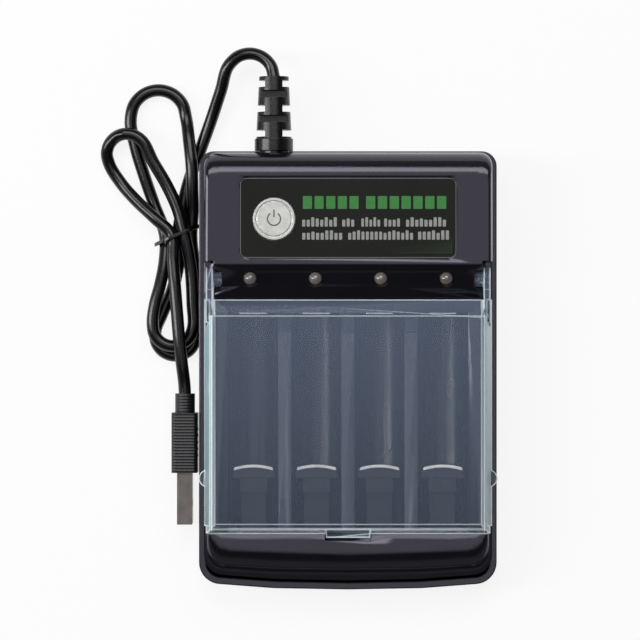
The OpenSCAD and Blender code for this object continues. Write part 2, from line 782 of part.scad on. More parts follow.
module contact_slider(k) {
    color([0.07, 0.07, 0.08]) {
        intersection() {
            translate([bay_x(k), slider_y, bay_axis_z]) rotate([90, 0, 0])
                cylinder(r = bay_r - CLEAR - 0.05, h = slider_l, $fn = 96);
            // Bowed front that carries the contact strip
            translate([bay_x(k), slider_y - bow_r, bay_floor_z])
                cylinder(r = bow_r - strip_t - 0.05, h = rib_z - bay_floor_z, $fn = 128);
            translate([bay_x(k), 0, 0]) union() {
                translate([-slider_w / 2, plate_y - 3, bay_floor_z]) cube([slider_w, 4, rib_z - 0.2 - bay_floor_z]);
                translate([-track_w / 2, slider_back_y, bay_floor_z]) cube([track_w, slider_l, rib_z - 1.2 - bay_floor_z]);
            }
        }
        // Tongue that keeps the slot behind the carriage covered
        translate([bay_x(k) - tongue_w / 2, tongue_end_y, tongue_z])
            cube([tongue_w, slider_back_y + OVER - tongue_end_y, tongue_t]);
        // Stem through the floor slot, and the foot that the spring bears on
        translate([bay_x(k) - stem_w / 2, stem_y, spring_z]) cube([stem_w, stem_l, bay_floor_z + OVER - spring_z]);
        translate([bay_x(k) - foot_w / 2, stem_y, spring_z - spring_d / 2]) cube([foot_w, stem_l, liner_low_z - CLEAR - spring_z + spring_d / 2]);
    }
}

module negative_contact(k) {
    half = slider_w / 2 - 0.4;
    low = bay_axis_z - 3.8;
    top = rib_z + 0.6;
    color([0.8, 0.78, 0.74]) intersection() {
        translate([bay_x(k), slider_y - bow_r, 0]) difference() {
            translate([0, 0, low]) cylinder(r = bow_r, h = top - low, $fn = 128);
            translate([0, 0, low - OVER]) cylinder(r = bow_r - strip_t, h = top - low + OVER - 0.4, $fn = 128);
            // The top edge is folded back over the carriage
            translate([0, 0, low]) cylinder(r = bow_r - fold_l, h = top - low + OVER, $fn = 128);
        }
        translate([bay_x(k) - half, plate_y - 1, 0]) cube([2 * half, bow_l + 2, face_z]);
    }
}

function spring_path(x, y_low, y_high) = [
    for (i = [0:10 * spring_turns])
        [
            x + (spring_d - spring_wire) / 2 * cos(36 * i),
            y_high - spring_wire / 2 - (y_high - y_low - spring_wire) * i / (10 * spring_turns),
            spring_z + (spring_d - spring_wire) / 2 * sin(36 * i)
        ]
];

module slider_spring(k) {
    color([0.7, 0.7, 0.7])
        sweep(spring_path(bay_x(k), stop_y + 0.05, stem_y - 0.05), spring_wire / 2, 6);
}

// Strain relief: a tapered grommet, cut by windows that face in turn to its sides and its faces
module strain_relief() {
    collar_l = 4.2;
    step_l = 7.5;
    window_l = 2;
    web = 2.6;
    color([0.05, 0.05, 0.05]) translate([relief_x, end_y + 0.1, rim_z]) rotate([-90, 0, 0]) difference() {
        union() {
            cylinder(d1 = relief_d - 0.5, d2 = relief_tip_d, h = relief_l);
            cylinder(d = relief_d, h = collar_l - 0.6);
            // Neck in the casing's wall, and the flange behind it
            translate([0, 0, -4.9]) cylinder(d = relief_d - 3, h = 4.9);
            translate([0, 0, -4.9]) cylinder(d = relief_d, h = 1.4);
        }
        for (side = [-1, 1]) {
            for (i = [0:2])
                translate([side * (web + 5), 0, collar_l + i * step_l + window_l / 2])
                    cube([10, 20, window_l], center = true);
            for (i = [0:1])
                translate([0, side * (web + 5), collar_l + i * step_l + 5.4])
                    cube([20, 10, window_l], center = true);
        }
        translate([0, 0, relief_l - 0.7]) cylinder(d = cord_d + 0.4, h = OVER);
    }
}

module cord() {
    color([0.05, 0.05, 0.05])
        sweep([for (i = [0:cord_rings - 1]) along(cord_points, i * (len(cord_points) - 1) / (cord_rings - 1))],
            cord_d / 2, CORD_SIDES);
}

module tie_outline(grow) {
    hull() {
        for (x = [-55.45, -47.45]) translate([x - plug_x, low_z]) circle(r = cord_d / 2 + grow, $fn = BLEND_FN);
        for (x = [-53.45, -49.45]) translate([x - plug_x, high_z]) circle(r = cord_d / 2 + grow, $fn = BLEND_FN);
    }
}

module cord_tie() {
    color([0.05, 0.05, 0.05]) translate([plug_x, tie_y, 0]) rotate([90, 0, 0])
        linear_extrude(height = 1.8, center = true) difference() {
            tie_outline(tie_gap + tie_t);
            tie_outline(tie_gap);
        }
}

// Plug, standing on its narrow side
module plug_body() {
    color([0.05, 0.05, 0.05]) difference() {
        union() {
            hull() {
                for (x = [-1, 1])
                    for (z = [-1, 1])
                        translate([plug_x + x * (grip_t / 2 - 1.4), plug_y - neck_l, plug_z + z * (grip_h / 2 - 1.4)])
                            rotate([90, 0, 0]) cylinder(r = 1.4, h = grip_l, $fn = BLEND_FN);
            }
            translate([plug_x, plug_y, plug_z]) rotate([90, 0, 0]) cylinder(d = cord_d + 2.2, h = neck_l + OVER);
        }
        translate([plug_x, plug_y + OVER, plug_z]) rotate([90, 0, 0]) cylinder(d = cord_d + 0.3, h = OVER + 1);
        translate([plug_x - shell_t / 2, plug_y - neck_l - grip_l - OVER, plug_z - shell_w / 2])
            cube([shell_t, 6 + OVER, shell_w]);
        // Finger grooves across both wide faces
        for (side = [-1, 1])
            for (i = [0:4])
                translate([plug_x + side * (grip_t / 2 + 0.2), plug_y - neck_l - 5 - i * 2, plug_z])
                    cube([1, 0.9, grip_h - 4], center = true);
    }
}

module plug_shell() {
    plug_end_y = plug_y - neck_l - grip_l;
    color([0.6, 0.58, 0.54]) difference() {
        translate([plug_x - shell_t / 2, plug_end_y - shell_l, plug_z - shell_w / 2]) cube([shell_t, shell_l + 6, shell_w]);
        translate([plug_x - shell_t / 2 + 0.35, plug_end_y - shell_l - OVER, plug_z - shell_w / 2 + 0.35])
            cube([shell_t - 0.7, shell_l + 6 + 2 * OVER, shell_w - 0.7]);
        // Latch windows in both wide faces
        for (z = [-2.9, 2.9])
            translate([plug_x, plug_end_y - shell_l + 6.4, plug_z + z]) cube([2 * shell_t, 2.4, 2.3], center = true);
    }
}

module plug_tongue() {
    plug_end_y = plug_y - neck_l - grip_l;
    color([0.12, 0.12, 0.13]) {
        translate([plug_x - 0.9, plug_end_y - shell_l + 0.8, plug_z - shell_w / 2 + 0.45])
            cube([shell_t / 2 + 0.45, shell_l - 0.8, shell_w - 0.9]);
        translate([plug_x - shell_t / 2 + 0.45, plug_end_y, plug_z - shell_w / 2 + 0.45])
            cube([shell_t - 0.9, 6, shell_w - 0.9]);
    }
}

module plug_contacts() {
    plug_end_y = plug_y - neck_l - grip_l;
    color([0.85, 0.7, 0.35])
        for (z = [-3.5, -1, 1, 3.5])
            translate([plug_x - 1.1, plug_end_y - shell_l + 1.6, plug_z + z - 0.5]) cube([0.2, 12, 1]);
}

rear_shell();
front_shell();
label_panel();
lid();
casing_screws();
rubber_feet();
power_button();
tact_switch();
circuit_board();
board_screws();
controller_chip();
power_inductor();
capacitors();
led(1);  // led_1
led(2);  // led_2
led(3);  // led_3
led(4);  // led_4
positive_contact(1);  // positive_contact_1
positive_contact(2);  // positive_contact_2
positive_contact(3);  // positive_contact_3
positive_contact(4);  // positive_contact_4
contact_slider(1);  // contact_slider_1
contact_slider(2);  // contact_slider_2
contact_slider(3);  // contact_slider_3
contact_slider(4);  // contact_slider_4
negative_contact(1);  // negative_contact_1
negative_contact(2);  // negative_contact_2
negative_contact(3);  // negative_contact_3
negative_contact(4);  // negative_contact_4
slider_spring(1);  // slider_spring_1
slider_spring(2);  // slider_spring_2
slider_spring(3);  // slider_spring_3
slider_spring(4);  // slider_spring_4
strain_relief();
cord();
cord_tie();
plug_body();
plug_shell();
plug_tongue();
plug_contacts();
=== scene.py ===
"""Looks for a four-bay battery charger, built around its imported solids."""

import logging
import math
import random
from dataclasses import dataclass
from enum import Enum
from typing import Callable, Sequence

import bmesh
import bpy
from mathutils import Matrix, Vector


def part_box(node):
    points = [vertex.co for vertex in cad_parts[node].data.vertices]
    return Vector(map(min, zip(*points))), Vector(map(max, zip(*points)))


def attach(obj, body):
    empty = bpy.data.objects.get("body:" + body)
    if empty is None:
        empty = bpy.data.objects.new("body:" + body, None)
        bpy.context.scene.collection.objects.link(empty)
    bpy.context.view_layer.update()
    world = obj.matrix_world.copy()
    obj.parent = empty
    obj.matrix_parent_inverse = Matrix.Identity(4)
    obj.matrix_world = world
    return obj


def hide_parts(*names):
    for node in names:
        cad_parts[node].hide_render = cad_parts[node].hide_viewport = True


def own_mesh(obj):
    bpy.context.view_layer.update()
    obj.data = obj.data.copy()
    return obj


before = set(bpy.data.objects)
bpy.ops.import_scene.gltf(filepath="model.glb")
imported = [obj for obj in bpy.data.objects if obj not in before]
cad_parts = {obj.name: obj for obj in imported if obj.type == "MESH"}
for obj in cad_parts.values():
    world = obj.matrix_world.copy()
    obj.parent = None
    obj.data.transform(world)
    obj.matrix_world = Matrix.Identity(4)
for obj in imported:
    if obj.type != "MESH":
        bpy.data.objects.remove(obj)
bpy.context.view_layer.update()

LOG = logging.getLogger("charger")
MM = 0.001
NOISE_LOW = 0.3
NOISE_HIGH = 0.7
Point = Sequence[float]
Colour = tuple[float, float, float]


class Slot(Enum):
    """Material slot names that new pieces are handed; nothing here reads them."""

    SHELL = "black_gloss"
    LABEL = "label_film"
    LID = "clear_lid"
    BUTTON = "silver_button"
    LAMP = "smoky_lamp"
    CORD = "cord_black"
    TIE = "tie_black"
    PLUG = "plug_black"
    SPRING = "spring_steel"


class Body(Enum):
    """The bodies that pieces ride on."""

    CASING = "casing"
    LID = "lid"
    BUTTON = "button"


def linear(red: int, green: int, blue: int) -> Colour:
    """Turn a screen colour into the renderer's linear one.

    Args:
        red: Red, 0 to 255.
        green: Green, 0 to 255.
        blue: Blue, 0 to 255.

    Returns:
        The linear colour.
    """
    def channel(value: int) -> float:
        """One channel."""
        share = value / 255
        return share / 12.92 if share <= 0.04045 else ((share + 0.055) / 1.055) ** 2.4

    return channel(red), channel(green), channel(blue)


class Shader:
    """A material under construction, with the few node recipes that the finishes share."""

    def __init__(self, name: str) -> None:
        """Start an empty material."""
        self.material = bpy.data.materials.new(name)
        self.material.use_nodes = True
        self.tree = self.material.node_tree
        self.tree.nodes.clear()
        self.output = self.tree.nodes.new("ShaderNodeOutputMaterial")
        self.surface = self.tree.nodes.new("ShaderNodeBsdfPrincipled")
        self.join(self.surface.outputs["BSDF"], self.output.inputs["Surface"])
        self.place = self.tree.nodes.new("ShaderNodeTexCoord")

    def join(self, source: bpy.types.NodeSocket, target: bpy.types.NodeSocket) -> None:
        """Link two sockets."""
        self.tree.links.new(source, target)

    def set(self, **values: object) -> "Shader":
        """Set the principled sockets.

        Args:
            values: Socket names with underscores for spaces, and their values.

        Returns:
            This shader.
        """
        for name, value in values.items():
            socket = self.surface.inputs[name.replace("_", " ")]
            socket.default_value = (*value, 1.0) if isinstance(value, tuple) else value
        return self

    def noise(
        self, scale: float, detail: float = 3.0, stretch: Point = (1, 1, 1)
    ) -> bpy.types.NodeSocket:
        """A noise over the piece's own coordinates.

        Args:
            scale: Features in a metre.
            detail: Octaves.
            stretch: Scale along each axis.

        Returns:
            The noise's value socket.
        """
        mapping = self.tree.nodes.new("ShaderNodeMapping")
        mapping.inputs["Scale"].default_value = stretch
        self.join(self.place.outputs["Object"], mapping.inputs["Vector"])
        texture = self.tree.nodes.new("ShaderNodeTexNoise")
        texture.inputs["Scale"].default_value = scale
        texture.inputs["Detail"].default_value = detail
        self.join(mapping.outputs["Vector"], texture.inputs["Vector"])
        return texture.outputs["Fac"]

    def ramp(
        self, source: bpy.types.NodeSocket, stops: Sequence[tuple[float, Colour]]
    ) -> bpy.types.NodeSocket:
        """A colour ramp.

        Args:
            source: What drives it.
            stops: Places and linear colours.

        Returns:
            The ramp's colour socket.
        """
        node = self.tree.nodes.new("ShaderNodeValToRGB")
        elements = node.color_ramp.elements
        while len(elements) < len(stops):
            elements.new(0.5)
        for element, (place, colour) in zip(elements, stops):
            element.position = place
            element.color = (*colour, 1.0)
        self.join(source, node.inputs["Fac"])
        return node.outputs["Color"]

    def spread(self, source: bpy.types.NodeSocket, low: float, high: float) -> bpy.types.NodeSocket:
        """Map a noise value from its usual range to another.

        Args:
            source: The noise.
            low: Result at the noise's usual least.
            high: Result at the noise's usual most.

        Returns:
            The mapped socket.
        """
        node = self.tree.nodes.new("ShaderNodeMapRange")
        node.inputs["From Min"].default_value = NOISE_LOW
        node.inputs["From Max"].default_value = NOISE_HIGH
        node.inputs["To Min"].default_value = low
        node.inputs["To Max"].default_value = high
        self.join(source, node.inputs["Value"])
        return node.outputs["Result"]

    def mottle(
        self, cloud: bpy.types.NodeSocket, colour: Colour, dark: float, light: float,
        low: float = NOISE_LOW, high: float = NOISE_HIGH,
    ) -> None:
        """Let a noise darken and lighten the base colour.

        Args:
            cloud: The noise.
            colour: The colour.
            dark: Share of the colour where the noise is low.
            light: Share of the colour where the noise is high.
            low: The noise's value at the dark end.
            high: The noise's value at the light end.
        """
        stops = [(low, tuple(c * dark for c in colour)), (high, tuple(c * light for c in colour))]
        self.join(self.ramp(cloud, stops), self.surface.inputs["Base Color"])

    def polish(self, source: bpy.types.NodeSocket, roughness: float, low: float, high: float) -> None:
        """Let a noise vary the roughness.

        Args:
            source: The noise.
            roughness: The roughness.
            low: Share of it where the noise is low.
            high: Share of it where the noise is high.
        """
        varied = self.spread(source, roughness * low, roughness * high)
        self.join(varied, self.surface.inputs["Roughness"])

    def combine(
        self, operation: str, first: bpy.types.NodeSocket, second: bpy.types.NodeSocket | float
    ) -> bpy.types.NodeSocket:
        """Work out one sum of two values.

        Args:
            operation: The sum's name.
            first: The first value.
            second: The second value, as a socket or a number.

        Returns:
            The result's socket.
        """
        node = self.tree.nodes.new("ShaderNodeMath")
        node.operation = operation
        self.join(first, node.inputs[0])
        if isinstance(second, float):
            node.inputs[1].default_value = second
        else:
            self.join(second, node.inputs[1])
        return node.outputs["Value"]

    def ribbed(
        self, grain: bpy.types.NodeSocket, pitch: float, weight: float = 2.5
    ) -> bpy.types.NodeSocket:
        """Add fine ribs across the piece to a height texture.

        Args:
            grain: The height texture.
            pitch: Distance between ribs in metres.
            weight: Height of the ribs against the texture's.

        Returns:
            The summed height.
        """
        wave = self.tree.nodes.new("ShaderNodeTexWave")
        wave.bands_direction = "Y"
        wave.inputs["Scale"].default_value = math.pi / 10 / pitch
        self.join(self.place.outputs["Object"], wave.inputs["Vector"])
        total = self.tree.nodes.new("ShaderNodeMath")
        total.operation = "MULTIPLY_ADD"
        total.inputs[1].default_value = weight
        self.join(wave.outputs["Fac"], total.inputs[0])
        self.join(grain, total.inputs[2])
        return total.outputs["Value"]

    def bump(self, source: bpy.types.NodeSocket, depth: float, edge: float = 0.0) -> "Shader":
        """Raise the surface by a texture, over edges softened in the shading.

        Args:
            source: Height texture.
            depth: Height in metres.
            edge: Radius of the softened edges in metres.

        Returns:
            This shader.
        """
        node = self.tree.nodes.new("ShaderNodeBump")
        node.inputs["Strength"].default_value = 1.0
        node.inputs["Distance"].default_value = depth
        self.join(source, node.inputs["Height"])
        if edge > 0:
            bevel = self.tree.nodes.new("ShaderNodeBevel")
            bevel.samples = 6
            bevel.inputs["Radius"].default_value = edge
            self.join(bevel.outputs["Normal"], node.inputs["Normal"])
        self.join(node.outputs["Normal"], self.surface.inputs["Normal"])
        return self


@dataclass(frozen=True)
class MouldedPlastic:
    """Injection-moulded plastic: fine spark texture, faint flow marks and soft edges."""

    name: str
    colour: Colour
    roughness: float = 0.2
    grain: float = 2600.0
    grain_depth: float = 0.000004
    edge: float = 0.0003
    coat: float = 0.0
    level: float = 0.5
    tint: Colour = (1.0, 1.0, 1.0)
    rib_pitch: float = 0.0
    flow: float = 55.0
    smear: float = 210.0

    def material(self) -> bpy.types.Material:
        """Build the material."""
        shader = Shader(self.name)
        shader.set(Base_Color=self.colour, Roughness=self.roughness, Coat_Weight=self.coat)
        shader.set(Coat_Roughness=0.08, Specular_IOR_Level=self.level, Specular_Tint=self.tint)
        shader.mottle(shader.noise(self.flow, 4.0), self.colour, 0.8, 1.2)
        shader.polish(shader.noise(self.smear, 5.0, (1.0, 0.25, 1.0)), self.roughness, 0.82, 1.2)
        height = shader.noise(self.grain, 2.0)
        if self.rib_pitch > 0:
            height = shader.ribbed(height, self.rib_pitch)
        shader.bump(height, self.grain_depth, self.edge)
        return shader.material


@dataclass(frozen=True)
class ClearMoulding:
    """Clear plastic with a cool veil that is partly its own tint and partly a painted reflection of the
    overhead light, with painted highlight lines along its edges.
    """

    name: str
    # Colour of the veil: the plastic's own tint together with a painted reflection of the overhead light.
    haze_and_reflection: Colour
    cover: float
    # Painted highlight lines along the edges: their colour, cover and width.
    edge_highlight_colour: Colour = (0.8, 0.9, 0.94)
    edge_highlight_cover: float = 0.75
    edge_width: float = 0.0006
    roughness: float = 0.1
    # Shares of the cover at the free edge (front) and at the hinge (back), and where these lie along Y:
    # the painted reflection's gradient.
    front_share: float = 0.62
    back_share: float = 1.2
    front_y: float = -0.045
    back_y: float = 0.02
    flat_turn: float = 0.9992
    edge_turn: float = 0.982

    def fade(self, shader: Shader) -> bpy.types.NodeSocket:
        """The veil's cover, a painted reflection that grows from the free edge to the hinge.

        Args:
            shader: The material.

        Returns:
            A socket with the cover.
        """
        split = shader.tree.nodes.new("ShaderNodeSeparateXYZ")
        shader.join(shader.place.outputs["Object"], split.inputs["Vector"])
        along = shader.tree.nodes.new("ShaderNodeMapRange")
        along.inputs["From Min"].default_value = self.front_y
        along.inputs["From Max"].default_value = self.back_y
        along.inputs["To Min"].default_value = min(self.cover * self.front_share, 1.0)
        along.inputs["To Max"].default_value = min(self.cover * self.back_share, 1.0)
        shader.join(split.outputs["Y"], along.inputs["Value"])
        return along.outputs["Result"]

    def edge_highlight_mask(self, shader: Shader) -> bpy.types.NodeSocket:
        """How near the surface is to an edge, where the painted highlight lines go.

        Args:
            shader: The material.

        Returns:
            A socket that is 0 on the flats and 1 on the edges.
        """
        geometry = shader.tree.nodes.new("ShaderNodeNewGeometry")
        bevel = shader.tree.nodes.new("ShaderNodeBevel")
        bevel.samples = 8
        bevel.inputs["Radius"].default_value = self.edge_width
        along = shader.tree.nodes.new("ShaderNodeVectorMath")
        along.operation = "DOT_PRODUCT"
        shader.join(geometry.outputs["Normal"], along.inputs[0])
        shader.join(bevel.outputs["Normal"], along.inputs[1])
        turn = shader.tree.nodes.new("ShaderNodeMapRange")
        turn.inputs["From Min"].default_value = self.flat_turn
        turn.inputs["From Max"].default_value = self.edge_turn
        shader.join(along.outputs["Value"], turn.inputs["Value"])
        return turn.outputs["Result"]

    def material(self) -> bpy.types.Material:
        """Build the material."""
        shader = Shader(self.name)
        shader.set(Base_Color=self.haze_and_reflection, Roughness=self.roughness, Specular_IOR_Level=0.5)
        # The veil is partly the plastic's tint and partly a painted reflection of the overhead light; the
        # noise varies it at random.
        cloud = shader.noise(14.0, 2.0, (1.0, 0.4, 1.0))
        dim = tuple(c * 0.92 for c in self.haze_and_reflection)
        bright = tuple(min(c * 1.1, 1.0) for c in self.haze_and_reflection)
        haze_and_reflection = shader.ramp(cloud, [(NOISE_LOW, dim), (NOISE_HIGH, bright)])
        mask = self.edge_highlight_mask(shader)
        # Painted highlight: the edges take a pale colour instead of the light they would catch.
        mix = shader.tree.nodes.new("ShaderNodeMix")
        mix.data_type = "RGBA"
        shader.join(mask, mix.inputs["Factor"])
        shader.join(haze_and_reflection, mix.inputs["A"])
        mix.inputs["B"].default_value = (*self.edge_highlight_colour, 1.0)
        shader.join(mix.outputs["Result"], shader.surface.inputs["Base Color"])
        shader.polish(shader.noise(160.0, 4.0), self.roughness, 0.85, 1.2)
        # The cover follows the painted reflection, which grows towards the hinge.
        cover = shader.tree.nodes.new("ShaderNodeMapRange")
        shader.join(self.fade(shader), cover.inputs["To Min"])
        # Edges also take more cover, so that the painted highlight lines show.
        cover.inputs["To Max"].default_value = self.edge_highlight_cover
        shader.join(mask, cover.inputs["Value"])
        shader.join(cover.outputs["Result"], shader.surface.inputs["Alpha"])
        shader.bump(shader.noise(700.0, 2.0), 0.000002, 0.0003)
        return shader.material


@dataclass(frozen=True)
class Metal:
    """Plated or drawn metal with fine lines along one axis."""

    name: str
    colour: Colour
    roughness: float
    lines: Point = (1.0, 12.0, 12.0)
    edge: float = 0.0001

    def material(self) -> bpy.types.Material:
        """Build the material."""
        shader = Shader(self.name)
        shader.set(Base_Color=self.colour, Metallic=1.0, Roughness=self.roughness)
        shader.mottle(shader.noise(300.0, 4.0), self.colour, 0.82, 1.0, 0.35, 0.65)
        drawn = shader.noise(900.0, 3.0, self.lines)
        shader.polish(drawn, self.roughness, 0.75, 1.3)
        shader.bump(drawn, 0.000003, self.edge)
        return shader.material


@dataclass(frozen=True)
class SoftRubber:
    """Soft black jacket and grommet stock with a fine skin."""

    name: str
    colour: Colour
    roughness: float = 0.36
    level: float = 0.4

    def material(self) -> bpy.types.Material:
        """Build the material."""
        shader = Shader(self.name)
        shader.set(Base_Color=self.colour, Roughness=self.roughness, Specular_IOR_Level=self.level)
        shader.mottle(shader.noise(120.0, 4.0), self.colour, 0.75, 1.3)
        skin = shader.noise(1500.0, 3.0)
        shader.polish(skin, self.roughness, 0.85, 1.2)
        shader.bump(skin, 0.00001, 0.0003)
        return shader.material


@dataclass(frozen=True)
class Print:
    """Flat printing ink, slightly uneven."""

    name: str
    colour: Colour

    def material(self) -> bpy.types.Material:
        """Build the material."""
        shader = Shader(self.name)
        shader.set(Base_Color=self.colour, Roughness=0.4)
        cloud = shader.noise(1800.0, 3.0)
        shader.mottle(cloud, self.colour, 0.82, 1.0, 0.35, 0.6)
        shader.bump(cloud, 0.000004)
        return shader.material


@dataclass(frozen=True)
class Finishes:
    """Every finish of the charger."""

    shell: MouldedPlastic = MouldedPlastic(
        "shell_black_gloss", linear(11, 10, 15), 0.14, edge=0.0007, level=0.7, tint=(0.84, 0.82, 1.0)
    )
    tray: MouldedPlastic = MouldedPlastic("tray_black", linear(17, 18, 24), 0.3, level=0.4)
    # Lighter finish for the upward flats between the bays: painted light from overhead, on the same
    # plastic as the tray.
    lit_rib_top: MouldedPlastic = MouldedPlastic("tray_rib_top_painted_light", linear(60, 64, 74), 0.3)
    label: MouldedPlastic = MouldedPlastic(
        "label_dark_olive", linear(16, 18, 13), 0.4, grain=1200.0, grain_depth=0.000002,
        edge=0.00015, level=0.16,
    )
    # The lid top's veil is partly the plastic's tint and partly a painted reflection of the overhead
    # light.
    lid: ClearMoulding = ClearMoulding("lid_clear_cool", linear(128, 145, 172), 0.16)
    # Side walls: the outer one keeps the plastic's teal tint lightened with painted light, the inner one
    # is pale painted light, and both are nearly opaque.
    lid_side_tint_and_light: ClearMoulding = ClearMoulding(
        "lid_side_teal_painted_light", linear(178, 206, 214), 0.8, edge_highlight_colour=(0.9, 0.96, 0.98), edge_highlight_cover=0.94
    )
    lid_inner_painted_light: ClearMoulding = ClearMoulding(
        "lid_inner_pale_painted_light", linear(250, 253, 254), 0.95, edge_highlight_colour=(0.97, 0.99, 1.0), edge_highlight_cover=0.98
    )
    button: Metal = Metal(
        "button_satin_silver", linear(196, 196, 192), 0.42, lines=(1.0, 1.0, 1.0), edge=0.0002
    )
    steel: Metal = Metal("screw_steel", linear(176, 176, 180), 0.3)
    nickel: Metal = Metal("contact_nickel", linear(226, 224, 220), 0.16)
    plug_steel: Metal = Metal("plug_warm_steel", linear(112, 107, 104), 0.34, lines=(12.0, 1.0, 12.0))
    gold: Metal = Metal("contact_gold", linear(226, 186, 96), 0.22)
    can: Metal = Metal("can_aluminium", linear(196, 196, 200), 0.35)
    carriage: MouldedPlastic = MouldedPlastic("carriage_black", linear(17, 18, 22), 0.4, level=0.3)
    lamp: MouldedPlastic = MouldedPlastic(
        "lamp_smoky", linear(98, 90, 88), 0.07, grain=900.0, grain_depth=0.000001, edge=0.0001, coat=1.0
    )
    board: MouldedPlastic = MouldedPlastic("board_green", linear(28, 92, 54), 0.35)
    part: MouldedPlastic = MouldedPlastic("part_black", linear(30, 30, 32), 0.45)
    ferrite: MouldedPlastic = MouldedPlastic("ferrite_grey", linear(70, 70, 74), 0.6)
    cord: SoftRubber = SoftRubber("cord_black", linear(7, 7, 10), 0.2)
    relief: SoftRubber = SoftRubber("relief_black", linear(7, 7, 10), 0.26)
    grip: MouldedPlastic = MouldedPlastic(
        "plug_satin_black", linear(17, 17, 21), 0.38, grain=1500.0, grain_depth=0.00003, rib_pitch=0.0009
    )
    foot: SoftRubber = SoftRubber("foot_rubber", linear(30, 30, 30), 0.6)
    green_ink: Print = Print("ink_green", linear(34, 118, 38))
    dot_ink: Print = Print("ink_dot_green", linear(24, 84, 38))
    white_ink: Print = Print("ink_white", linear(140, 142, 137))
    # Grey ink for the button's printed symbol, also used for the painted highlight line round the label
    # panel.
    mark_and_highlight_ink: Print = Print("mark_and_highlight_grey", linear(92, 92, 90))


@dataclass(frozen=True)
class SoftBox:
    """One area light that faces the object, in metres and watts."""

    name: str
    place: Point
    size: tuple[float, float]
    power: float
    aim: Point = (0.0, 0.0, 0.02)

    def hang(self) -> None:
        """Hang the light."""
        data = bpy.data.lights.new(self.name, "AREA")
        data.shape = "RECTANGLE"
        data.size, data.size_y = self.size
        data.energy = self.power
        light = bpy.data.objects.new(self.name, data)
        light.location = self.place
        aim = Vector(self.aim) - Vector(self.place)
        light.rotation_euler = aim.to_track_quat("-Z", "Y").to_euler()
        bpy.context.scene.collection.objects.link(light)


